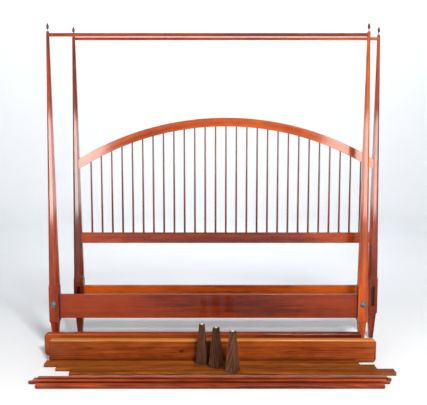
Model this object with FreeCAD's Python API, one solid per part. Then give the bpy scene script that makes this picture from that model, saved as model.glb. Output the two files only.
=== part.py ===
import FreeCAD, Part
import math
import os

from FreeCAD import Vector

# A king-size pencil-post canopy bed, taken apart for storage.
# The foot frame and the head frame stand close together, one behind the other. The side rails, the
# slats with their centre legs and the canopy rods lie on the floor in front of them.
# Millimetres, +Z up, +X to the right, +Y from the loose pieces towards the head frame.
# Origin: on the floor, in the middle of the rectangle that the whole layout covers.

# Layout
FOOT_FRAME_AT = (-55.5, 213.0)       # middle of the foot frame, on the plane of its post axes
HEAD_FRAME_AT = (60.0, 424.0)
SIDE_RAIL_AT = {"rear": (-89.0, 62.0), "front": (-29.0, -64.0)}      # middle, and its outer face
SLAT_AT = {"rear": (-93.5, -104.0), "middle": (-8.0, -170.5), "front": (88.0, -240.0)}
LEG_TURN = {"rear": -8.0, "middle": -26.0, "front": -24.0}          # degrees about the leg's axis
TESTER_SIDE_AT = {"rear": (-28.0, -343.5), "middle": (-46.0, -385.5)}
TESTER_SIDE_TURN = {"rear": 0.0, "middle": 180.0}                   # the middle one lies with its pins behind
TESTER_CROSS_AT = (-41.5, -450.0)

# Posts
POST_SPACING = 2000.0                # between the two post axes of a frame
BLOCK = 64.0                         # square block that takes the rails
BLOCK_BOTTOM = 185.0
BLOCK_TOP = 420.0
SHOULDER = 20.0                      # height of the cove under the block
POST_TOP = {"foot": 2032.0, "head": 2044.0}
POST_TIP = 18.0                      # across the flats at the top
TIP_BEVEL = 4.0
FOOT_TOP = 50.0                      # square foot, under the cove
FOOT_BOTTOM = 26.0
EDGE_BREAK = 1.2                     # taken off the square arrises, measured on the diagonal
TONGUE = 44.0                        # height of the lamb's tongue stop
GLIDE_HEIGHT = 4.0
GLIDE_RADIUS = 9.0

# Rails of the end frames
RAIL_HEIGHT = 156.0
RAIL_DEPTH = 28.0
RAIL_SETBACK = 20.0                  # of its outer face, behind the block's outer face
RAIL_TOP = {"foot": 360.5, "head": 370.0}
TENON_LENGTH = 22.0
TENON_DEPTH = 18.0
TENON_SHOULDER = 18.0                # above and below the tenon
EASED = 3.0
SPINDLE_RAIL_Z = (663.0, 733.0)
SPINDLE_RAIL_DEPTH = 30.0
CREST_RADIUS = 1905.0                # outer face of the arch
CREST_TOP = 1503.5
CREST_HEIGHT = 57.0
CREST_DEPTH = 30.0
TESTER_Z = {"foot": (2000.0, 2020.0), "head": (2008.0, 2025.5)}
TESTER_DEPTH = 18.0
STUB_LENGTH = 12.0
JOINT_CLEARANCE = 0.15

# Spindles
SPINDLES = 27
SPINDLES_PER_NODE = 3
SPINDLE_RADIUS = (6.5, 5.0)          # at the bottom and at the top
SPINDLE_TENON_RADIUS = (4.5, 4.0)
SPINDLE_SOCKET = 13.0

# Bed bolts and their covers
BOLT_Z = 300.0
BOLT_RADIUS = 4.75
BOLT_HOLE_RADIUS = 5.2
BOLT_END = 1.0                       # inside the block's inner face, in the housing of the side rail
BOLT_HEAD_FLATS = 14.0
BOLT_HEAD = 7.0
COUNTERBORE_RADIUS = 11.0
COUNTERBORE_DEPTH = 14.0
WASHER = (9.5, 1.6)                  # radius and thickness
SLOT = (23.0, 134.0, 12.0)           # side rail's housing: width, height, depth
COVER_HALF = (16.5, 19.5)            # half the oval's width and height
COVER_MIDDLE = 296.8
COVER_EAR = (6.5, 316.0)             # radius and height of the hanging ear
COVER_DOME = (14.3, 5.6, 17.2)       # half axes: across, out, up
COVER_SHEET = 1.5
COVER_WALL = 1.3
COVER_GAP = 0.3
PIN_RADIUS = 1.6
PIN_DEPTH = 9.0
PIN_HEAD = (3.2, 1.6)

# Finials and the pins that carry them
FINIAL_GAP = 12.0                    # bare pin between the post and the finial
FINIAL_HEIGHT = 38.0
TESTER_PIN_RADIUS = 3.0
TESTER_PIN_SUNK = 26.0
TESTER_PIN_IN_FINIAL = 18.0

# Side rails
SIDE_LENGTH = 2006.0                 # over the tongues
SIDE_HEIGHT = 146.0
SIDE_THICK = 38.0
SIDE_CORNER = 27.0
SIDE_ROUND = 11.0                    # radius along the arrises of the outer face
SIDE_EDGE = 3.0
SIDE_TONGUE = (22.0, 11.0)           # thickness and length of the thinned ends
SIDE_BORE_DEPTH = 40.0
INSERT_RADIUS = 7.5                  # threaded insert that takes the bed bolt
INSERT_LENGTH = 25.0
INSERT_RIM = (9.5, 1.5)
CLEAT = (1880.0, 25.0, 32.0)         # length, depth, height
CLEAT_BOTTOM = 12.0
CLEAT_SCREWS = 7
SCREW_RADIUS = 2.2
SCREW_HEAD_RADIUS = 4.2
SCREW_LENGTH = 44.0

# Slats and their centre legs
SLAT = (1900.0, 66.0, 19.0)
LEG_BASE = 69.0
LEG_TIP = 31.0
LEG_HEIGHT = 237.0
LEG_GLIDE = (9.5, 6.0)
LEG_BOLT_RADIUS = 3.9
LEG_BOLT_SUNK = (14.0, 42.0)         # into the slat, into the leg

# Canopy rods
ROD_HEIGHT = 22.0
ROD_DEPTH = 26.0
TESTER_SIDE_LENGTH = 2036.0
TESTER_CROSS_LENGTH = 1933.0
TONGUE_LENGTH = 24.0
TONGUE_HEIGHT = 13.0
CROSS_BEVEL = 6.0
ROD_HOLE_RADIUS = 3.3
ROD_PIN = (3.5, 16.0, 4.0)           # radius, length, how far it stands out
ROD_PIN_HEIGHT = 16.5                # the rods lie bottom up
CROSS_SLOT = (7.8, 15.0, 9.0)        # width, height, how far it runs in

UP = Vector(0, 0, 1)
OUT = Vector(0, -1, 0)
ACROSS = Vector(1, 0, 0)
WIDE = 100.0                         # half length of the prisms that a post is cut from


def box(x, y, z):
    """A block between the limits (low, high) along each axis."""
    return Part.makeBox(x[1] - x[0], y[1] - y[0], z[1] - z[0], Vector(x[0], y[0], z[0]))


def rod(radius, length, start, direction=UP):
    return Part.makeCylinder(radius, length, start, direction)


def around(middle, size):
    """The limits of a span of this size about its middle."""
    return (middle - size / 2, middle + size / 2)


def moved(shape, x=0.0, y=0.0, z=0.0):
    result = shape.copy()
    result.translate(Vector(x, y, z))
    return result


def turned(shape, degrees):
    """The shape turned about the Z axis."""
    result = shape.copy()
    result.rotate(Vector(0, 0, 0), UP, degrees)
    return result


def outline_edges(steps):
    """Edges through (x, z) points. A step of four numbers is an arc: its middle, then its end."""
    edges = []
    last = steps[0]
    for step in steps[1:]:
        start = Vector(last[0], 0, last[1])
        end = Vector(step[-2], 0, step[-1])
        if len(step) == 2:
            edges.append(Part.LineSegment(start, end).toShape())
        else:
            edges.append(Part.Arc(start, Vector(step[0], 0, step[1]), end).toShape())
        last = step[-2:]
    return edges


def silhouette(steps, degrees):
    """A long level prism with the outline `steps` and its mirror image, turned about Z."""
    right = outline_edges(steps)
    left = [edge.mirror(Vector(0, 0, 0), ACROSS) for edge in right]
    bottom = outline_edges([(-steps[0][0], steps[0][1]), steps[0]])
    top = outline_edges([(-steps[-1][0], steps[-1][1]), steps[-1]])
    wire = Part.Wire(Part.__sortEdges__(right + left + bottom + top))
    prism = Part.Face(wire).extrude(Vector(0, 2 * WIDE, 0))
    return turned(moved(prism, y=-WIDE), degrees)


def post_blank(top):
    """Tapered foot, square block, and octagonal shaft that starts in four lamb's tongues."""
    half = BLOCK / 2
    foot = FOOT_TOP / 2
    tip = POST_TIP / 2
    cove = BLOCK_BOTTOM - SHOULDER
    sides = [(FOOT_BOTTOM / 2, GLIDE_HEIGHT), (foot, cove),
             (foot + 2.4, cove + 12.5, half, BLOCK_BOTTOM), (half, BLOCK_TOP),
             (tip, top - TIP_BEVEL), (tip / 2, top)]
    diagonal = math.sqrt(2)
    block_arris = half * diagonal - EDGE_BREAK
    foot_arris = foot * diagonal - EDGE_BREAK
    tongue = BLOCK_TOP - TONGUE / 2
    drop = block_arris - half
    corners = [(FOOT_BOTTOM / 2 * diagonal - EDGE_BREAK, GLIDE_HEIGHT), (foot_arris, cove),
               (foot_arris + 3.4, cove + 12.5, block_arris, BLOCK_BOTTOM), (block_arris, tongue),
               (block_arris - 0.14 * drop, tongue + 0.3 * TONGUE,
                half + drop / 2, tongue + 0.5 * TONGUE),
               (half + 0.14 * drop, tongue + 0.7 * TONGUE, half, tongue + TONGUE),
               (tip, top - TIP_BEVEL), (tip / 2, top)]
    square = silhouette(sides, 0).common(silhouette(sides, 90))
    return square.common(silhouette(corners, 45)).common(silhouette(corners, 135))


def half_width(z, top):
    """Half the width of the octagonal shaft at a height, in a post that ends at `top`."""
    share = (z - BLOCK_TOP) / (top - TIP_BEVEL - BLOCK_TOP)
    return BLOCK / 2 + max(share, 0.0) * (POST_TIP - BLOCK) / 2


def drilled_post(top, pockets):
    """A post at x = 0, with its outer face towards OUT and pockets for the tenons of its rails."""
    post = post_blank(top)
    face = BLOCK / 2
    post = post.cut(box(around(0, SLOT[0]), (face - SLOT[2], face + 1), around(BOLT_Z, SLOT[1])))
    post = post.cut(rod(BOLT_HOLE_RADIUS, BLOCK, Vector(0, -face, BOLT_Z), -OUT))
    post = post.cut(rod(COUNTERBORE_RADIUS, COUNTERBORE_DEPTH, Vector(0, -face, BOLT_Z), -OUT))
    post = post.cut(rod(PIN_RADIUS, PIN_DEPTH, Vector(0, -face, COVER_EAR[1]), -OUT))
    post = post.cut(rod(TESTER_PIN_RADIUS, TESTER_PIN_SUNK, Vector(0, 0, top - TESTER_PIN_SUNK)))
    return post.cut(pockets)


def tenon_pair(top, z, height, depth, length, y=0.0, spread=0.0):
    """Tenon blocks into both posts. `spread` makes the pockets that they go into."""
    blocks = []
    face = POST_SPACING / 2 - half_width(z, top)
    for side in (-1, 1):
        reach = sorted((side * (face - 2.0), side * (face + length + spread)))
        blocks.append(box(reach, around(y, depth + 2 * spread), around(z, height + 2 * spread)))
    return blocks


def shouldered(bar, posts, tenons):
    """A bar cut to fit against both posts, with its tenons put back on."""
    for post in posts:
        bar = bar.cut(post)
    return bar.fuse(tenons).removeSplitter()


def straight_bar(z, depth, y=0.0):
    return box(around(0, POST_SPACING), around(y, depth), z)


def level_edges(bar, length):
    """The long arrises of a bar."""
    return [edge for edge in bar.Edges if edge.BoundBox.XLength > length]


def frame_rail(end, posts):
    """The deep rail between the blocks, with eased arrises."""
    y = RAIL_SETBACK + (RAIL_DEPTH - BLOCK) / 2
    z = (RAIL_TOP[end] - RAIL_HEIGHT, RAIL_TOP[end])
    bar = straight_bar(z, RAIL_DEPTH, y)
    bar = bar.makeFillet(EASED, level_edges(bar, POST_SPACING - 1))
    middle = sum(z) / 2
    size = (RAIL_HEIGHT - 2 * TENON_SHOULDER, TENON_DEPTH, TENON_LENGTH)
    tenons = tenon_pair(POST_TOP[end], middle, *size, y)
    pockets = tenon_pair(POST_TOP[end], middle, *size, y, JOINT_CLEARANCE)
    return shouldered(bar, posts, tenons), pockets


def light_rail(end, z, depth, posts, eased):
    """A slim straight rail between the shafts."""
    bar = straight_bar(z, depth)
    bar = bar.makeFillet(eased, level_edges(bar, POST_SPACING - 1))
    middle = sum(z) / 2
    size = (0.55 * (z[1] - z[0]), depth / 2, STUB_LENGTH / 2)
    tenons = tenon_pair(POST_TOP[end], middle, *size)
    pockets = tenon_pair(POST_TOP[end], middle, *size, 0.0, JOINT_CLEARANCE)
    return shouldered(bar, posts, tenons), pockets


def crest_curve(x, radius):
    return CREST_TOP - CREST_RADIUS + math.sqrt(radius ** 2 - x ** 2)


def crest_blank():
    """The arch before its ends are cut to the posts: a bevelled bar swung about the arch's centre."""
    section = box((CREST_RADIUS - CREST_HEIGHT, CREST_RADIUS), around(0, CREST_DEPTH), (0, 1))
    upright = [edge for edge in section.Edges if edge.BoundBox.ZLength > 0.5]
    section = section.makeChamfer(EASED / 2, upright)
    foot = min(section.Faces, key=lambda face: face.CenterOfMass.z)
    half_angle = math.degrees(math.asin(POST_SPACING / 2 / (CREST_RADIUS - CREST_HEIGHT)))
    arch = foot.revolve(Vector(0, 0, 0), OUT, 2 * half_angle)
    arch.rotate(Vector(0, 0, 0), OUT, 90 - half_angle)
    between_axes = box(around(0, POST_SPACING - BLOCK / 2), around(0, 2 * WIDE), (0, CREST_TOP + WIDE))
    return moved(arch, z=CREST_TOP - CREST_RADIUS).common(between_axes)


def crest_rail(posts):
    top = POST_TOP["head"]
    middle = crest_curve(POST_SPACING / 2 - half_width(CREST_TOP, top), CREST_RADIUS - CREST_HEIGHT / 2)
    size = (CREST_HEIGHT / 2, CREST_DEPTH / 2, STUB_LENGTH)
    tenons = tenon_pair(top, middle, *size)
    pockets = tenon_pair(top, middle, *size, 0.0, JOINT_CLEARANCE)
    return shouldered(crest_blank(), posts, tenons), pockets


def spindle_places():
    """X of each spindle, with equal gaps from post to post."""
    inner = POST_SPACING - 2 * half_width(SPINDLE_RAIL_Z[1], POST_TOP["head"])
    pitch = inner / (SPINDLES + 1)
    return [(number - (SPINDLES - 1) / 2) * pitch for number in range(SPINDLES)]


def spindle_underside(x):
    return crest_curve(x, CREST_RADIUS - CREST_HEIGHT)


def spindle(x, arch):
    """A tapered round spindle whose top follows the underside of the arch."""
    bottom = SPINDLE_RAIL_Z[1]
    top = spindle_underside(x)
    shaft = Part.makeCone(*SPINDLE_RADIUS, top - bottom + 2 * SPINDLE_RADIUS[1], Vector(x, 0, bottom))
    shaft = shaft.cut(arch)
    solids = sorted(shaft.Solids, key=lambda solid: solid.Volume)
    shaft = solids[-1]
    lower = rod(SPINDLE_TENON_RADIUS[0], SPINDLE_SOCKET, Vector(x, 0, bottom - SPINDLE_SOCKET + 1.0))
    upper = rod(SPINDLE_TENON_RADIUS[1], SPINDLE_SOCKET + 6.0, Vector(x, 0, top - 7.0))
    return shaft.fuse([lower, upper])


def spindle_sockets(height_at, radius, length):
    return [rod(radius + JOINT_CLEARANCE, length, Vector(x, 0, height_at(x))) for x in spindle_places()]


def hexagon_head(flats, height, start, direction):
    """A hexagonal head that stands on a plane across a level direction."""
    corner = flats / math.sqrt(3)
    across = UP.cross(direction)
    points = []
    for number in range(7):
        angle = math.radians(60 * number)
        points.append(start + across * (corner * math.cos(angle)) + UP * (corner * math.sin(angle)))
    return Part.Face(Part.makePolygon(points)).extrude(direction * height)


def bed_bolt():
    """Hexagon bolt at the post's axis, from the counterbore to the side rail's housing."""
    seat = -BLOCK / 2 + COUNTERBORE_DEPTH - WASHER[1]
    end = BLOCK / 2 - BOLT_END
    shank = rod(BOLT_RADIUS, end - seat, Vector(0, seat, BOLT_Z), -OUT)
    tip = [edge for edge in shank.Edges if edge.BoundBox.YMin > end - 0.1]
    shank = shank.makeChamfer(1.0, tip)
    return shank.fuse(hexagon_head(BOLT_HEAD_FLATS, BOLT_HEAD, Vector(0, seat, BOLT_Z), OUT))


def bolt_washer():
    seat = Vector(0, -BLOCK / 2 + COUNTERBORE_DEPTH, BOLT_Z)
    return rod(WASHER[0], WASHER[1], seat, OUT).cut(rod(BOLT_HOLE_RADIUS, WASHER[1], seat, OUT))


def ellipsoid(half_axes, middle):
    ball = Part.makeSphere(1.0)
    scale = FreeCAD.Matrix()
    scale.scale(*half_axes)
    return moved(ball.transformGeometry(scale), *middle)


def bolt_cover():
    """A hollow oval dome on a thin flange, hung from an ear by its pin."""
    back = -BLOCK / 2 - COVER_GAP
    upright = Part.Ellipse(Vector(0, back, COVER_MIDDLE + COVER_HALF[1]),
                           Vector(COVER_HALF[0], back, COVER_MIDDLE), Vector(0, back, COVER_MIDDLE))
    oval = Part.Face(Part.Wire(upright.toShape())).extrude(OUT * COVER_SHEET)
    ear = rod(COVER_EAR[0], COVER_SHEET, Vector(0, back, COVER_EAR[1]), OUT)
    flange = oval.fuse(ear).removeSplitter()
    middle = (0, back - COVER_SHEET, COVER_MIDDLE)
    front = box((-WIDE, WIDE), (-WIDE, back), (0, 2 * BOLT_Z))
    dome = ellipsoid(COVER_DOME, middle).common(front)
    hollow = ellipsoid([axis - COVER_WALL for axis in COVER_DOME], middle)
    reach = COVER_DOME[1] + COVER_SHEET
    clear = rod(PIN_HEAD[0] + 0.5, reach, Vector(0, back - COVER_SHEET, COVER_EAR[1]), OUT)
    bore = rod(PIN_RADIUS + 0.05, COVER_SHEET, Vector(0, back, COVER_EAR[1]), OUT)
    return flange.fuse(dome).cut(hollow).cut(clear).cut(bore)


def cover_pin():
    """Round-headed pin driven into the block above the bolt."""
    start = Vector(0, -BLOCK / 2 + PIN_DEPTH, COVER_EAR[1])
    length = PIN_DEPTH + 2 * COVER_GAP + COVER_SHEET
    shank = rod(PIN_RADIUS, length, start, OUT)
    head = rod(PIN_HEAD[0], PIN_HEAD[1], start + OUT * length, OUT)
    crown = [edge for edge in head.Edges if edge.BoundBox.YMax < start.y - length - PIN_HEAD[1] + 0.1]
    return shank.fuse(head.makeFillet(PIN_HEAD[1] * 0.7, crown))


def tester_pin(top):
    length = TESTER_PIN_SUNK + FINIAL_GAP + TESTER_PIN_IN_FINIAL
    return rod(TESTER_PIN_RADIUS, length, Vector(0, 0, top - TESTER_PIN_SUNK))


def finial(top):
    """A turned acorn that slips over the pin."""
    widest = 8.0
    edges = outline_edges([(0, 0), (4.2, 0), (4.4, 2.2), (7.3, 7.5, widest, 14.0),
                           (6.1, 27.0, 0.8, FINIAL_HEIGHT - 0.4), (0, FINIAL_HEIGHT), (0, 0)])
    turning = Part.Face(Part.Wire(edges)).revolve(Vector(0, 0, 0), UP, 360)
    hole = rod(TESTER_PIN_RADIUS + 0.1, TESTER_PIN_IN_FINIAL, Vector(0, 0, 0))
    return moved(turning.cut(hole), z=top + FINIAL_GAP)


def post_glide():
    glide = rod(GLIDE_RADIUS, GLIDE_HEIGHT, Vector(0, 0, 0))
    rim = [edge for edge in glide.Edges if edge.BoundBox.ZMax < 0.1]
    return glide.makeChamfer(1.0, rim)


def end_frame(end):
    """Posts, rails and sockets of one frame, about x = 0, with its outer face towards OUT."""
    top = POST_TOP[end]
    blanks = [moved(post_blank(top), side * POST_SPACING / 2) for side in (-1, 1)]
    rails = {}
    pockets = []
    rails["rail"], found = frame_rail(end, blanks)
    pockets += found
    rails["tester_rail"], found = light_rail(end, TESTER_Z[end], TESTER_DEPTH, blanks, EASED / 2)
    pockets += found
    if end == "head":
        rails["spindle_rail"], found = light_rail(end, SPINDLE_RAIL_Z, SPINDLE_RAIL_DEPTH, blanks, EASED)
        pockets += found
        lower = spindle_sockets(lambda x: SPINDLE_RAIL_Z[1] - SPINDLE_SOCKET, SPINDLE_TENON_RADIUS[0],
                                SPINDLE_SOCKET)
        rails["spindle_rail"] = rails["spindle_rail"].cut(lower)
        rails["crest_rail"], found = crest_rail(blanks)
        pockets += found
        upper = spindle_sockets(lambda x: spindle_underside(x) - 8.0, SPINDLE_TENON_RADIUS[1],
                                SPINDLE_SOCKET + 8.0)
        rails["crest_rail"] = rails["crest_rail"].cut(upper)
    posts = {}
    for side in (-1, 1):
        near = [moved(pocket, -side * POST_SPACING / 2) for pocket in pockets
                if pocket.BoundBox.Center.x * side > 0]
        posts[side] = drilled_post(top, near)
    return posts, rails


def side_board():
    """A board on edge with round corners and a rounded outer face, thinned to a tongue at each end."""
    board = box(around(0, SIDE_LENGTH), (0, SIDE_THICK), (0, SIDE_HEIGHT))
    corners = [edge for edge in board.Edges if edge.BoundBox.YLength > SIDE_THICK - 1]
    board = board.makeFillet(SIDE_CORNER, corners)
    outer = [edge for edge in board.Edges if edge.BoundBox.YMax < 0.1]
    board = board.makeFillet(SIDE_ROUND, outer)
    inner = [edge for edge in board.Edges if edge.BoundBox.YMin > SIDE_THICK - 0.1]
    board = board.makeFillet(SIDE_EDGE, inner)
    shoulder = SIDE_LENGTH / 2 - SIDE_TONGUE[1]
    low, high = around(SIDE_THICK / 2, SIDE_TONGUE[0])
    for side in (-1, 1):
        reach = sorted((side * shoulder, side * (SIDE_LENGTH / 2 + 1)))
        board = board.cut(box(reach, (-1, low), (-1, SIDE_HEIGHT + 1)))
        board = board.cut(box(reach, (high, SIDE_THICK + 1), (-1, SIDE_HEIGHT + 1)))
    return board


def thread_insert(mouth, inwards):
    """A rimmed sleeve let into the end of a rail, level with the end."""
    body = rod(INSERT_RADIUS, INSERT_LENGTH, mouth, inwards)
    rim = rod(INSERT_RIM[0], INSERT_RIM[1], mouth, inwards)
    return body.fuse(rim)


def side_rail():
    """One side rail, its two threaded inserts, its cleat and the cleat's screws."""
    board = side_board()
    inserts = []
    for side in (-1, 1):
        mouth = Vector(side * SIDE_LENGTH / 2, SIDE_THICK / 2, SIDE_HEIGHT / 2)
        inwards = ACROSS * -side
        insert = thread_insert(mouth, inwards)
        board = board.cut([insert, rod(BOLT_HOLE_RADIUS, SIDE_BORE_DEPTH, mouth, inwards)])
        inserts.append(insert.cut(rod(BOLT_RADIUS + 0.05, INSERT_LENGTH, mouth, inwards)))
    cleat = box(around(0, CLEAT[0]), (SIDE_THICK, SIDE_THICK + CLEAT[1]),
                (CLEAT_BOTTOM, CLEAT_BOTTOM + CLEAT[2]))
    rear = [edge for edge in level_edges(cleat, CLEAT[0] - 1) if edge.BoundBox.YMin > SIDE_THICK + 1]
    cleat = cleat.makeChamfer(EASED, rear)
    screws = []
    pitch = CLEAT[0] / CLEAT_SCREWS
    for number in range(CLEAT_SCREWS):
        x = (number - (CLEAT_SCREWS - 1) / 2) * pitch
        start = Vector(x, SIDE_THICK + CLEAT[1], CLEAT_BOTTOM + CLEAT[2] / 2)
        shank = rod(SCREW_RADIUS, SCREW_LENGTH, start, OUT)
        head = Part.makeCone(SCREW_HEAD_RADIUS, SCREW_RADIUS, SCREW_RADIUS, start, OUT)
        screws.append(shank.fuse(head))
    cleat = cleat.cut(screws)
    board = board.cut(screws)
    return {"side_rail": board, "cleat": cleat, "cleat_screws": Part.Compound(screws),
            "thread_inserts": Part.Compound(inserts)}


def slat():
    board = box(around(0, SLAT[0]), around(0, SLAT[1]), (0, SLAT[2]))
    board = board.makeFillet(EASED / 2, level_edges(board, SLAT[0] - 1))
    depth = LEG_BOLT_SUNK[0] + 1.0
    return board.cut(rod(LEG_BOLT_RADIUS + JOINT_CLEARANCE, depth, Vector(0, 0, SLAT[2] - depth)))


def slat_leg(turn):
    """A leg that stands upside down on its slat, with its hanger bolt and its glide."""
    base = SLAT[2]
    top = base + LEG_HEIGHT
    squares = []
    for width, z in ((LEG_BASE, base), (LEG_TIP, top)):
        low, high = around(0, width)
        corners = [Vector(low, low, z), Vector(high, low, z), Vector(high, high, z), Vector(low, high, z)]
        squares.append(Part.makePolygon(corners + corners[:1]))
    leg = Part.makeLoft(squares, True, True)
    slopes = [edge for edge in leg.Edges if edge.BoundBox.ZLength > LEG_HEIGHT / 2]
    leg = leg.makeChamfer(EASED / 2, slopes)
    below, above = LEG_BOLT_SUNK
    bolt = rod(LEG_BOLT_RADIUS, below + above, Vector(0, 0, base - below))
    glide = rod(LEG_GLIDE[0], LEG_GLIDE[1], Vector(0, 0, top))
    crown = [edge for edge in glide.Edges if edge.BoundBox.ZMin > top + 1]
    glide = glide.makeFillet(LEG_GLIDE[1] * 0.6, crown)
    return {"slat_leg": turned(leg.cut(bolt), turn), "leg_bolt": bolt, "leg_glide": glide}


def tester_side():
    """A side canopy rod with a holed tongue at each end, and its two pins."""
    half = TESTER_SIDE_LENGTH / 2
    bar = box(around(0, TESTER_SIDE_LENGTH), around(0, ROD_DEPTH), (0, ROD_HEIGHT))
    bar = bar.makeFillet(EASED / 2, level_edges(bar, TESTER_SIDE_LENGTH - 1))
    for side in (-1, 1):
        shoulder = side * (half - TONGUE_LENGTH)
        bar = bar.cut(box(sorted((shoulder, side * (half + 1))), around(0, 2 * ROD_DEPTH),
                          (TONGUE_HEIGHT, 2 * ROD_HEIGHT)))
        bar = bar.cut(rod(ROD_HOLE_RADIUS, ROD_HEIGHT, Vector(side * (half - TONGUE_LENGTH / 2), 0, 0)))
    upright = [edge for edge in bar.Edges
               if edge.BoundBox.ZLength > 5 and abs(edge.BoundBox.Center.x) > half - 0.1]
    bar = bar.makeFillet(ROD_DEPTH / 2 - 3.0, upright)
    pins = []
    radius, length, proud = ROD_PIN
    for side in (-1, 1):
        start = Vector(side * TESTER_SIDE_LENGTH / 6, -ROD_DEPTH / 2 - proud, ROD_PIN_HEIGHT)
        pins.append(rod(radius, length, start, -OUT))
    return {"tester_side": bar.cut(pins), "tester_side_pins": Part.Compound(pins)}


def tester_cross():
    """The middle canopy rod, slotted from below at each end."""
    half = TESTER_CROSS_LENGTH / 2
    width, height, run = CROSS_SLOT
    bar = box(around(0, TESTER_CROSS_LENGTH), around(0, ROD_DEPTH), (0, ROD_HEIGHT))
    bar = bar.makeChamfer(CROSS_BEVEL, [edge for edge in bar.Edges if edge.BoundBox.XLength < 1])
    bar = bar.makeFillet(EASED / 2, level_edges(bar, TESTER_CROSS_LENGTH - 3 * CROSS_BEVEL))
    for side in (-1, 1):
        bar = bar.cut(box(sorted((side * (half - run), side * (half + 1))), around(0, width),
                          (-1, height)))
    return bar


def frame_nodes():
    """Every node of the two end frames and of the fittings that stay in them."""
    nodes = {}
    groups = {"tester_pins": [], "cover_pins": [], "bolt_washers": [], "post_glides": []}
    bolt = bed_bolt()
    cover = bolt_cover()
    for end, at, degrees in (("foot", FOOT_FRAME_AT, 0), ("head", HEAD_FRAME_AT, 180)):
        def placed(shape):
            return moved(turned(shape, degrees), *at)

        single = {"finial": finial(POST_TOP[end]), "bed_bolt": bolt, "bolt_cover": cover}
        shared = {"tester_pins": tester_pin(POST_TOP[end]), "cover_pins": cover_pin(),
                  "bolt_washers": bolt_washer(), "post_glides": post_glide()}
        posts, rails = end_frame(end)
        for name, shape in rails.items():
            nodes[f"{end}_{name}"] = placed(shape)
        for side in (-1, 1):
            seen = side if degrees == 0 else -side
            hand = "left" if seen < 0 else "right"
            nodes[f"{end}_post_{hand}"] = placed(moved(posts[side], side * POST_SPACING / 2))
            for name, shape in single.items():
                nodes[f"{end}_{name}_{hand}"] = placed(moved(shape, side * POST_SPACING / 2))
            for name, shape in shared.items():
                groups[name].append(placed(moved(shape, side * POST_SPACING / 2)))
    for name, shapes in groups.items():
        nodes[name] = Part.Compound(shapes)
    return nodes


def spindle_nodes():
    arch = crest_blank()
    spindles = [moved(spindle(x, arch), *HEAD_FRAME_AT) for x in spindle_places()]
    nodes = {}
    for first in range(0, SPINDLES, SPINDLES_PER_NODE):
        number = first // SPINDLES_PER_NODE + 1
        nodes[f"spindles_{number}"] = Part.Compound(spindles[first:first + SPINDLES_PER_NODE])
    return nodes


def loose_nodes():
    """The pieces that lie on the floor in front of the frames."""
    nodes = {}
    for place, at in SIDE_RAIL_AT.items():
        for name, shape in side_rail().items():
            nodes[f"{name}_{place}"] = moved(shape, *at)
    for place, at in SLAT_AT.items():
        nodes[f"slat_{place}"] = moved(slat(), *at)
        for name, shape in slat_leg(LEG_TURN[place]).items():
            nodes[f"{name}_{place}"] = moved(shape, *at)
    for place, at in TESTER_SIDE_AT.items():
        for name, shape in tester_side().items():
            nodes[f"{name}_{place}"] = moved(turned(shape, TESTER_SIDE_TURN[place]), *at)
    nodes["tester_cross_bar"] = moved(tester_cross(), *TESTER_CROSS_AT)
    return nodes


def main():
    os.makedirs("parts", exist_ok=True)
    nodes = frame_nodes()
    nodes.update(spindle_nodes())
    nodes.update(loose_nodes())
    for name, shape in nodes.items():
        shape.exportStep(f"parts/{name}.step")
    whole = Part.Compound(list(nodes.values())).BoundBox
    print(len(nodes), "nodes, x", whole.XMin, whole.XMax, "y", whole.YMin, whole.YMax, "z", whole.ZMin,
          whole.ZMax)


main()
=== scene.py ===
import math

import bmesh
import bpy
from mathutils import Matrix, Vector


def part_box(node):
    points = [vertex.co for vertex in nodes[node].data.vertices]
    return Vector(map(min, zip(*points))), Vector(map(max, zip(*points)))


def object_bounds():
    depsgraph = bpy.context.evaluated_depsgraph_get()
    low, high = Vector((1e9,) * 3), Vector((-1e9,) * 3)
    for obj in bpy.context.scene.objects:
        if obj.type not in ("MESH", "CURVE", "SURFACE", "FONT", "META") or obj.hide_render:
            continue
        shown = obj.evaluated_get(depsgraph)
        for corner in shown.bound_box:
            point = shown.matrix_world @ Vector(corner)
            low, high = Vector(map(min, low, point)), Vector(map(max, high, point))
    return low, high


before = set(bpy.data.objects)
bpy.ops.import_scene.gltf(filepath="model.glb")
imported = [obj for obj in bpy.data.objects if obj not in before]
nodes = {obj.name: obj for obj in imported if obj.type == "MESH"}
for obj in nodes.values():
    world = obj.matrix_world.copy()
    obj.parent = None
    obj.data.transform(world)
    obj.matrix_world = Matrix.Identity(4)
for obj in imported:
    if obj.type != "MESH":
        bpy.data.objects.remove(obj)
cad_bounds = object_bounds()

# ---------------------------------------------------------------- places, worked out from the frame
LOW, HIGH = cad_bounds
HEIGHT = HIGH.z
SPAN = HIGH.x - LOW.x
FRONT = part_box("foot_post_left")[0].y  # the outer faces of the foot posts
CREST_LOW, CREST_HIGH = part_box("head_crest_rail")
ARCH_RADIUS = 1.905                    # of the crest rail's fibres at its top edge

# ---------------------------------------------------------------- camera
LENS = 53.38
SENSOR = 36.0
EYE_HEIGHT = 1.392
EYE_SIDE = -0.023
EYE_DISTANCE = 4.0                     # in front of the foot posts' outer faces
LOOK_DOWN = math.radians(6.118)

# ---------------------------------------------------------------- studio
FLOOR_RADIUS = 7.0
COVE_RADIUS = 2.5
COVE_STEPS = 16
COVE_SIDES = 96
WALL_HEIGHT = 7.0
PAPER = (0.885, 0.91, 0.942)

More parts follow.
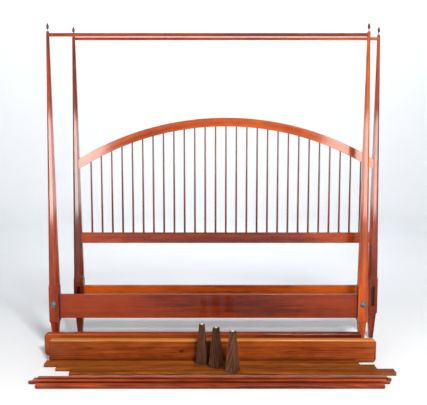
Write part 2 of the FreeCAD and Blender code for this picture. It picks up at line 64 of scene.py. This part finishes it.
KEY_DISTANCE = 6.5
KEY_SIDE = math.radians(17)            # to the right of the camera's line
KEY_RISE = math.radians(40)
KEY_AIM = 0.2                          # the share of the object's height at which it points
KEY_SIZE = (1.1, 1.1)
KEY_POWER = 385
SOFTBOX_SIDE = 1.9                     # how far each low softbox stands from the middle
SOFTBOX_SIZE = (0.9, 1.3)
SOFTBOX_POWER = {"left": 58, "right": 46}
PANEL_SIDE = 4.2                       # and each panel that shows in the posts' side facets
PANEL_BACK = -0.7
PANEL_AIM_BACK = 0.3
PANEL_SIZE = (1.2, 1.3)
PANEL_POWER = 34
LAMP_HEIGHT = 1.1                      # of the softboxes and panels, and of what they point at

KEY_WHITE = (1.0, 0.985, 0.955)
SOFTBOX_WHITE = (1.0, 0.94, 0.87)
PANEL_WHITE = (1.0, 0.96, 0.92)
COOL_WHITE = (0.97, 0.985, 1.0)
WORLD_WHITE = (0.93, 0.96, 1.0, 1.0)
WORLD_POWER = 0.07
WASHES = [                             # name, place, target, size, power, colour and spread
    ("overhead", (0.2, -0.2, 4.6), (0, 0, 0), (4.0, 3.0), 14, COOL_WHITE, math.pi),
    ("wall_wash", (0, 5.0, 5.6), (0, FLOOR_RADIUS + COVE_RADIUS, 2.4), (6.5, 1.0), 225, (1.0, 1.0, 1.0), math.pi),
    ("floor_wash", (0, 3.4, 4.5), (0, 3.41, 0), (5.0, 2.5), 26, COOL_WHITE, math.radians(85)),
]


def srgb(red, green, blue):
    """A display colour from 0 to 255 as linear light."""
    values = []
    for channel in (red, green, blue):
        share = channel / 255
        values.append(share / 12.92 if share <= 0.04045 else ((share + 0.055) / 1.055) ** 2.4)
    return (*values, 1.0)


def shade(colour, factor, lift=0.0):
    """The colour made darker or lighter, at most 1 in each channel."""
    return tuple(min(1.0, factor * channel + lift) for channel in colour[:3]) + (1.0,)


def make_camera():
    data = bpy.data.cameras.new("camera")
    data.lens = LENS
    data.sensor_width = SENSOR
    camera = bpy.data.objects.new("camera", data)
    camera.location = (EYE_SIDE, FRONT - EYE_DISTANCE, EYE_HEIGHT)
    camera.rotation_euler = (math.pi / 2 - LOOK_DOWN, 0, 0)
    bpy.context.scene.collection.objects.link(camera)
    bpy.context.scene.camera = camera


def make_cove():
    """A round pale floor that curves up into a wall on every side."""
    profile = [(0.0, 0.0), (0.5 * FLOOR_RADIUS, 0.0), (FLOOR_RADIUS, 0.0)]
    for step in range(1, COVE_STEPS + 1):
        angle = math.pi / 2 * step / COVE_STEPS
        profile.append((FLOOR_RADIUS + COVE_RADIUS * math.sin(angle), COVE_RADIUS * (1 - math.cos(angle))))
    profile.append((FLOOR_RADIUS + COVE_RADIUS, WALL_HEIGHT))
    bm = bmesh.new()
    points = [bm.verts.new((radius, 0, height)) for radius, height in profile]
    edges = [bm.edges.new(pair) for pair in zip(points, points[1:])]
    bmesh.ops.spin(bm, geom=points + edges, cent=(0, 0, 0), axis=(0, 0, 1), angle=2 * math.pi,
                   steps=COVE_SIDES, use_duplicate=False)
    bmesh.ops.remove_doubles(bm, verts=bm.verts, dist=0.0005)
    bmesh.ops.recalc_face_normals(bm, faces=bm.faces)
    mesh = bpy.data.meshes.new("cove")
    bm.to_mesh(mesh)
    bm.free()
    for polygon in mesh.polygons:
        polygon.use_smooth = True
    cove = bpy.data.objects.new("cove", mesh)
    bpy.context.scene.collection.objects.link(cove)
    cove.data.materials.append(paper_material())


def area_light(name, place, target, size, power, colour, spread=math.pi):
    data = bpy.data.lights.new(name, "AREA")
    data.shape = "RECTANGLE"
    data.size, data.size_y = size
    data.energy = power
    data.color = colour
    data.spread = spread
    light = bpy.data.objects.new(name, data)
    light.location = place
    light.rotation_euler = (Vector(target) - Vector(place)).to_track_quat("-Z", "Y").to_euler()
    light.visible_camera = False
    bpy.context.scene.collection.objects.link(light)


def make_lights():
    """A high front key, softboxes and side panels that show in the varnish, an overhead and two washes."""
    aim = Vector((0, FRONT, KEY_AIM * HEIGHT))
    level = KEY_DISTANCE * math.cos(KEY_RISE)
    rise = KEY_DISTANCE * math.sin(KEY_RISE)
    key = aim + Vector((level * math.sin(KEY_SIDE), -level * math.cos(KEY_SIDE), rise))
    area_light("key", key, aim, KEY_SIZE, KEY_POWER, KEY_WHITE)
    hands = (("left", -1), ("right", 1))
    for hand, side in hands:
        softbox = (side * SOFTBOX_SIDE, FRONT - EYE_DISTANCE, LAMP_HEIGHT)
        area_light(f"{hand}_softbox", softbox, (0, 0, LAMP_HEIGHT), SOFTBOX_SIZE, SOFTBOX_POWER[hand],
                   SOFTBOX_WHITE)
    for hand, side in hands:
        panel = (side * PANEL_SIDE, PANEL_BACK, LAMP_HEIGHT)
        area_light(f"{hand}_panel", panel, (0, PANEL_AIM_BACK, LAMP_HEIGHT), PANEL_SIZE, PANEL_POWER,
                   PANEL_WHITE)
    for wash in WASHES:
        area_light(*wash)
    world = bpy.data.worlds.new("studio")
    world.use_nodes = True
    background = world.node_tree.nodes["Background"]
    background.inputs["Color"].default_value = WORLD_WHITE
    background.inputs["Strength"].default_value = WORLD_POWER
    bpy.context.scene.world = world
    bpy.context.scene.view_settings.view_transform = "Standard"


# ---------------------------------------------------------------- node helpers
class Graph:
    """A material's node tree, with short calls for the nodes used here."""

    def __init__(self, name):
        self.material = bpy.data.materials.new(name)
        self.material.use_nodes = True
        self.tree = self.material.node_tree
        self.shader = self.tree.nodes["Principled BSDF"]

    def node(self, kind, inputs=None, **settings):
        made = self.tree.nodes.new(kind)
        for key, value in settings.items():
            setattr(made, key, value)
        for key, value in (inputs or {}).items():
            self.feed(made.inputs[key], value)
        return made

    def feed(self, socket, value):
        if isinstance(value, bpy.types.NodeSocket):
            self.tree.links.new(value, socket)
        else:
            socket.default_value = value

    def set(self, **values):
        for key, value in values.items():
            self.feed(self.shader.inputs[key.replace("_", " ")], value)

    def math(self, operation, *values, clamp=False):
        made = self.tree.nodes.new("ShaderNodeMath")
        made.operation = operation
        made.use_clamp = clamp
        for socket, value in zip(made.inputs, values):
            self.feed(socket, value)
        return made.outputs[0]

    def add(self, first, second, clamp=False):
        return self.math("ADD", first, second, clamp=clamp)

    def less(self, first, second):
        return self.math("SUBTRACT", first, second)

    def times(self, first, second):
        return self.math("MULTIPLY", first, second)

    def swing(self, value, amount):
        """A value from 0 to 1 turned into one about 0."""
        return self.times(self.less(value, 0.5), amount)

    def length(self, first, second):
        return self.math("SQRT", self.add(self.times(first, first), self.times(second, second)))

    def remap(self, value, low, high, to_low=0.0, to_high=1.0):
        made = self.node("ShaderNodeMapRange", {"Value": value, "From Min": low, "From Max": high,
                                                "To Min": to_low, "To Max": to_high})
        made.interpolation_type = "SMOOTHSTEP"
        return made.outputs["Result"]

    def mix(self, share, first, second):
        made = self.node("ShaderNodeMix", data_type="RGBA")
        self.feed(made.inputs[0], share)
        self.feed(made.inputs[6], first)
        self.feed(made.inputs[7], second)
        return made.outputs[2]

    def vector(self, operation, first, second):
        made = self.node("ShaderNodeVectorMath", operation=operation)
        self.feed(made.inputs[0], first)
        self.feed(made.inputs[1], second)
        return made.outputs

    def separate(self, vector):
        return self.node("ShaderNodeSeparateXYZ", {"Vector": vector}).outputs

    def noise(self, vector, scale, detail=3.0, rough=0.55):
        scaled = self.vector("MULTIPLY", vector, scale)[0]
        made = self.node("ShaderNodeTexNoise", {"Vector": scaled, "Scale": 1.0, "Detail": detail,
                                                "Roughness": rough})
        return made.outputs["Fac"]

    def place(self):
        return self.node("ShaderNodeTexCoord").outputs["Object"]

    def shelter(self, reach):
        """1 in the open and towards 0 in slots and narrow gaps."""
        return self.node("ShaderNodeAmbientOcclusion", {"Distance": reach}, samples=8).outputs["AO"]

    def worn_edges(self, radius):
        """0 on open faces and up to 1 along arrises."""
        rounded = self.node("ShaderNodeBevel", {"Radius": radius}, samples=4)
        true = self.node("ShaderNodeNewGeometry")
        dot = self.vector("DOT_PRODUCT", rounded.outputs["Normal"], true.outputs["Normal"])
        return self.remap(dot["Value"], 0.985, 0.80)

    def bump(self, height, distance, strength):
        made = self.node("ShaderNodeBump", {"Height": height, "Distance": distance, "Strength": strength})
        self.feed(self.shader.inputs["Normal"], made.outputs["Normal"])


def paper_material():
    graph = Graph("paper")
    place = graph.place()
    cloudy = graph.noise(place, (0.6, 0.6, 0.6))
    tooth = graph.noise(place, (240.0, 240.0, 240.0), 2.0)
    colour = graph.mix(graph.remap(cloudy, 0.3, 0.7), (*PAPER, 1.0), shade(PAPER, 0.975))
    graph.set(Base_Color=colour, Roughness=0.85, Specular_IOR_Level=0.2)
    graph.bump(tooth, 0.0003, 0.3)
    return graph.material


# ---------------------------------------------------------------- wood
PITH = (0.085, -0.14)                  # how far the log's centre lies from the frame's axis, across the grain
RING_SPACING = 0.0075
RING_SWAY = 0.075                      # how far a ring wanders
RING_LEAN = 0.012                      # and how far it climbs in each metre along the board
CUT_OFFSETS = (0.37, 0.61, 1.0)        # where in the log a member is cut from, for each unit of its cut

# cycles in a metre of each pattern, across the grain twice and then along it
SWAY = (3.0, 3.0, 0.9)
FIBRES = (260.0, 260.0, 5.0)
STREAKS = (40.0, 40.0, 0.9)
DRIFT = (6.0, 6.0, 1.1)
PORES = (900.0, 900.0, 30.0)
MOTTLE = (34.0, 34.0, 9.0)
# the next sets how the edge of the painted highlight along a board's top wobbles
TOP_HIGHLIGHT_EDGE = (9.0, 9.0, 2.5)
WEAR = (60.0, 60.0, 9.0)

# how strongly each pattern moves the colour from the dark to the light one
RING_FIGURE = 0.42
FIBRE_FIGURE = 0.6
STREAK_FIGURE = 1.7
MOTTLE_FIGURE = 1.1
DRIFT_FIGURE = 1.9

# how far the edge of the painted highlight along a board's top wanders
TOP_HIGHLIGHT_WAVE = 0.012
KNOT_RADIUS = 0.008
KNOT_HALO = 0.024
KNOT_SQUASH = 1.8
SHELTER_REACH = 0.045
WAX_BLEND = 0.3                        # the height over which a post's wax begins

HOUSING_HALF_WIDTH = 0.0125            # the housing that a post has for a side rail
HOUSING_HALF_HEIGHT = 0.06825


def grain_space(graph, along):
    """The sockets (across, across, along the fibres) of a point in a member, in metres."""
    x, y, z = graph.separate(graph.place())
    if along == "x":
        return y, z, x
    if along == "z":
        return x, y, z
    aside = graph.less(x, (CREST_HIGH.x + CREST_LOW.x) / 2)
    rise = graph.less(z, CREST_HIGH.z - ARCH_RADIUS)
    angle = graph.math("ARCTAN2", aside, rise)
    return y, graph.length(aside, rise), graph.times(angle, ARCH_RADIUS)


def ring_pattern(graph, space, across, up, along, cut):
    """1 in late wood and 0 in early wood of the growth rings."""
    reach = graph.length(graph.less(across, PITH[0]), graph.less(up, PITH[1]))
    reach = graph.add(reach, graph.times(graph.add(along, cut), RING_LEAN))
    reach = graph.add(reach, graph.times(graph.noise(space, SWAY, 2.0), RING_SWAY))
    turns = graph.times(reach, 2 * math.pi / RING_SPACING)
    return graph.remap(graph.math("SINE", turns), -0.9, 1.0)


def housing_painted_shade(graph, name):
    """1 inside the housing that a post has for a side rail, where the post gets painted shade, and 0 elsewhere on
    the post.
    """
    bolt_low, bolt_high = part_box(name.replace("_post_", "_bed_bolt_"))
    post_low, post_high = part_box(name)
    face, inward = (post_high.y, -1) if name.startswith("foot") else (post_low.y, 1)
    x, y, z = graph.separate(graph.place())
    aside = graph.math("ABSOLUTE", graph.less(x, (bolt_low.x + bolt_high.x) / 2))
    above = graph.math("ABSOLUTE", graph.less(z, (bolt_low.z + bolt_high.z) / 2))
    depth = graph.times(graph.less(y, face), inward)
    share = graph.remap(aside, HOUSING_HALF_WIDTH + 0.0005, HOUSING_HALF_WIDTH - 0.0005)
    share = graph.times(share, graph.remap(above, HOUSING_HALF_HEIGHT + 0.00075, HOUSING_HALF_HEIGHT - 0.00075))
    share = graph.times(share, graph.remap(depth, 0.0004, 0.0040))
    return graph.times(share, graph.remap(depth, 0.0200, 0.0160))


def wood_material(name, along, colours, cut, gloss=0.42, coat=0.5, pores=0.5, figure=1.0, middle=0.0,
                  painted_light_slope=0.0, top_highlight=0.0, knot=None, waxed=0.0, full_shade_openness=0.25):
    """
    Lacquered or bare wood with rings, fibres, pores, slow drift and lighter worn arrises, with painted
    shade in gaps, slots and a post's housing.

    cut says where in the log the member comes from, middle darkens its middle with painted shade,
    painted_light_slope lightens it towards +X as a painted gradient of light, top_highlight is the height
    above which the board is painted pale as a painted highlight along its top, knot is the place of a small
    knot along and up the board, waxed is the height above which a piece is waxed, and full_shade_openness
    is the openness below which the painted shade in a gap is as dark as it gets.
    """
    dark, light = colours
    deep = shade(dark, 0.42)
    graph = Graph(name)
    across, up, ahead = grain_space(graph, along)
    space = graph.node("ShaderNodeCombineXYZ", {"X": across, "Y": up, "Z": ahead}).outputs[0]
    space = graph.vector("ADD", space, tuple(cut * offset for offset in CUT_OFFSETS))[0]
    fibres = graph.noise(space, FIBRES, 4.0, 0.6)
    flecks = graph.remap(graph.noise(space, PORES, 1.0), 0.66, 0.74)

    share = graph.swing(ring_pattern(graph, space, across, up, ahead, cut), RING_FIGURE * figure)
    share = graph.add(share, graph.swing(fibres, FIBRE_FIGURE * figure))
    share = graph.add(share, graph.swing(graph.noise(space, STREAKS, 4.0, 0.62), STREAK_FIGURE * figure))
    share = graph.add(share, graph.swing(graph.noise(space, DRIFT, 3.0, 0.5), DRIFT_FIGURE))
    share = graph.add(share, graph.swing(graph.noise(space, MOTTLE, 3.0, 0.6), MOTTLE_FIGURE * figure))
    out = graph.math("DIVIDE", ahead, SPAN / 2)
    # painted shade: the middle of the member is darker than its ends
    if middle:
        share = graph.add(share, graph.remap(graph.math("ABSOLUTE", out), 0.15, 0.85, -middle, middle))
    # painted light: the member lightens steadily towards +X, or darkens towards +X where the value is negative
    if painted_light_slope:
        share = graph.add(share, graph.times(out, painted_light_slope))
    colour = graph.mix(graph.add(share, 0.5, clamp=True), dark, light)
    colour = graph.mix(graph.times(flecks, pores), colour, deep)

    # painted highlight: above the given height the board turns pale ochre along its top face and arris
    if top_highlight:
        wavy = graph.add(up, graph.times(graph.less(graph.noise(space, TOP_HIGHLIGHT_EDGE), 0.5), TOP_HIGHLIGHT_WAVE))
        colour = graph.mix(graph.remap(wavy, top_highlight - 0.004, top_highlight + 0.004, 0.0, 0.85), colour, TOP_HIGHLIGHT_COLOUR)
    if knot:
        beside = graph.less(ahead, knot[0])
        above = graph.times(graph.less(up, knot[1]), KNOT_SQUASH)
        reach = graph.length(beside, above)
        colour = graph.mix(graph.remap(reach, KNOT_HALO, KNOT_RADIUS, 0.0, 0.8), colour, deep)
    worn = graph.times(graph.worn_edges(0.0025), graph.remap(graph.noise(space, WEAR), 0.35, 0.65, 0.15, 0.6))
    colour = graph.mix(worn, colour, shade(light, 1.6, 0.006))
    # painted shade: the colour darkens towards deep wherever the ambient occlusion finds a gap, a slot or a
    # neighbouring part
    colour = graph.mix(graph.remap(graph.shelter(SHELTER_REACH), full_shade_openness, 0.92, 0.85, 0.0), colour, deep)
    # painted shade: the inside of the housing is darkened nearly to black
    if "_post_" in name:
        colour = graph.mix(graph.times(housing_painted_shade(graph, name), 0.85), colour, shade(deep, 0.25))

    rough = graph.add(graph.swing(fibres, 0.22), gloss)
    rough = graph.add(rough, graph.times(worn, 0.12))
    if waxed:
        coat = graph.remap(ahead, waxed, waxed + WAX_BLEND, 0.3 * coat, coat)
    graph.set(Base_Color=colour, Roughness=rough, Coat_Weight=coat, Coat_Roughness=0.11,
              Specular_IOR_Level=0.12, Specular_Tint=(1.0, 0.80, 0.68, 1.0))
    graph.bump(graph.less(graph.times(fibres, 0.6), graph.times(flecks, pores)), 0.0004, 0.5)
    return graph.material


# ---------------------------------------------------------------- metal and plastic
def metal_material(name, base, stained, rough):
    graph = Graph(name)
    place = graph.place()
    cloud = graph.noise(place, (70.0, 70.0, 70.0), 4.0)
    grit = graph.noise(place, (1260.0, 1260.0, 1260.0), 2.0)
    colour = graph.mix(graph.remap(cloud, 0.35, 0.70), base, stained)
    colour = graph.mix(graph.times(graph.worn_edges(0.0008), 0.6), colour, shade(base, 1.4))
    graph.set(Base_Color=colour, Metallic=1.0, Roughness=graph.add(graph.swing(cloud, 0.35), rough))
    graph.bump(graph.add(graph.times(cloud, 0.8), graph.times(grit, 0.2)), 0.0002, 0.6)
    return graph.material


def plastic_material(name, base, soiled):
    graph = Graph(name)
    place = graph.place()
    cloud = graph.noise(place, (120.0, 120.0, 120.0), 4.0)
    pits = graph.noise(place, (1500.0, 1500.0, 1500.0), 2.0)
    colour = graph.mix(graph.remap(cloud, 0.35, 0.75), base, soiled)
    graph.set(Base_Color=colour, Roughness=graph.remap(cloud, 0.2, 0.8, 0.42, 0.6))
    graph.bump(pits, 0.0001, 0.5)
    return graph.material


# ---------------------------------------------------------------- finishes of the CAD nodes
CHERRY_RED = (srgb(84, 20, 4), srgb(150, 56, 14))
CHERRY_DARK = (srgb(72, 17, 4), srgb(132, 46, 12))
CHERRY_WARM = (srgb(112, 34, 4), srgb(178, 78, 20))
CHERRY_DEEP = (srgb(66, 16, 6), srgb(112, 38, 14))
RAIL_RED = (srgb(84, 22, 4), srgb(150, 62, 16))
RAIL_BROWN = (srgb(76, 26, 4), srgb(146, 68, 20))
SLAT_BROWN = (srgb(92, 38, 8), srgb(160, 88, 28))
ROD_RED = (srgb(96, 28, 12), srgb(184, 80, 38))
# the pale ochre of the painted highlight along a board's top
TOP_HIGHLIGHT_COLOUR = srgb(182, 116, 50)
WALNUT = (srgb(46, 22, 14), srgb(92, 58, 42))
FIRST_CUT = 0.3                        # each member of the plan is cut from the next place in the log
NEXT_CUT = 1.57
SPINDLE_CUT = 41.0
FINIAL_CUT = 43.0


def dress(name, material):
    slots = nodes[name].data.materials
    slots.clear()
    slots.append(material)


def dress_woods():
    """Each wooden member gets its own cut of the wood, with the grain along it."""
    plan = [
        # The posts are one cherry: the warmer palette on foot_post_right is painted light and the deeper one on
        # head_post_left painted shade.
        ("foot_post_left", "z", CHERRY_RED, dict(coat=1.0, waxed=0.5)),
        ("foot_post_right", "z", CHERRY_WARM, dict(coat=0.9, waxed=0.5)),
        ("head_post_left", "z", CHERRY_DEEP, dict(coat=1.0, waxed=0.5)),
        ("head_post_right", "z", CHERRY_RED, dict(coat=1.0, waxed=0.5)),
        # these rails get painted shade on their middles
        ("foot_rail", "x", CHERRY_DARK, dict(coat=0.3, middle=0.3)),
        ("head_rail", "x", CHERRY_WARM, dict(coat=0.3, middle=0.25)),
        ("head_spindle_rail", "x", CHERRY_RED, dict(coat=0.4, middle=0.3)),
        ("head_crest_rail", "arch", CHERRY_WARM, dict(coat=0.9)),
        ("foot_tester_rail", "x", CHERRY_RED, dict(coat=0.5)),
        ("head_tester_rail", "x", CHERRY_WARM, dict(coat=0.4)),
        # the side rails get painted light that falls off from one end to the other
        ("side_rail_rear", "x", RAIL_RED, dict(coat=0.25, painted_light_slope=-0.7)),
        # the front side rail gets a painted highlight along its top
        ("side_rail_front", "x", RAIL_BROWN, dict(coat=0.25, painted_light_slope=0.2, top_highlight=0.137, knot=(-0.22, 0.075))),
        # the rods and the cross bar get deeper painted shade in the gaps between them
        ("tester_side_rear", "x", ROD_RED, dict(coat=0.12, full_shade_openness=0.55)),
        ("tester_side_middle", "x", ROD_RED, dict(coat=0.12, full_shade_openness=0.55)),
        ("tester_cross_bar", "x", ROD_RED, dict(coat=0.12, full_shade_openness=0.55)),
    ]
    for place in ("rear", "middle", "front"):
        plan.append((f"slat_{place}", "x", SLAT_BROWN, dict(gloss=0.5, coat=0.0, pores=0.7, figure=1.1)))
        plan.append((f"slat_leg_{place}", "z", WALNUT, dict(gloss=0.55, coat=0.0, pores=0.8, figure=1.2)))
    for place in ("rear", "front"):
        plan.append((f"cleat_{place}", "x", SLAT_BROWN, dict(gloss=0.6, coat=0.0, pores=0.7)))
    for number, (name, along, colours, options) in enumerate(plan):
        dress(name, wood_material(name, along, colours, FIRST_CUT + NEXT_CUT * number, **options))
    turned = wood_material("spindle_cherry", "z", CHERRY_DEEP, SPINDLE_CUT, coat=1.0, waxed=0.95)
    acorn = wood_material("finial_cherry", "z", CHERRY_DEEP, FINIAL_CUT)
    for name in nodes:
        if name.startswith("spindles_"):
            dress(name, turned)
        if "_finial_" in name:
            dress(name, acorn)


def dress_fittings():
    pewter = metal_material("pewter", srgb(104, 124, 130), srgb(58, 70, 76), 0.30)
    black_steel = metal_material("black_steel", srgb(92, 88, 84), srgb(52, 46, 42), 0.42)
    zinc = metal_material("zinc_steel", srgb(186, 188, 190), srgb(140, 140, 138), 0.30)
    nylon = plastic_material("glide_nylon", srgb(206, 196, 176), srgb(150, 138, 118))
    zinc_plated = ("leg_bolt", "cleat_screws", "thread_inserts", "cover_pins", "tester_pins")
    for name in nodes:
        if "_bolt_cover_" in name:
            dress(name, pewter)
        elif "_bed_bolt_" in name or name.startswith(("bolt_washers", "tester_side_pins")):
            dress(name, black_steel)
        elif "glide" in name:
            dress(name, nylon)
        elif name.startswith(zinc_plated):
            dress(name, zinc)


# ---------------------------------------------------------------- build
make_camera()
make_cove()
make_lights()
dress_woods()
dress_fittings()
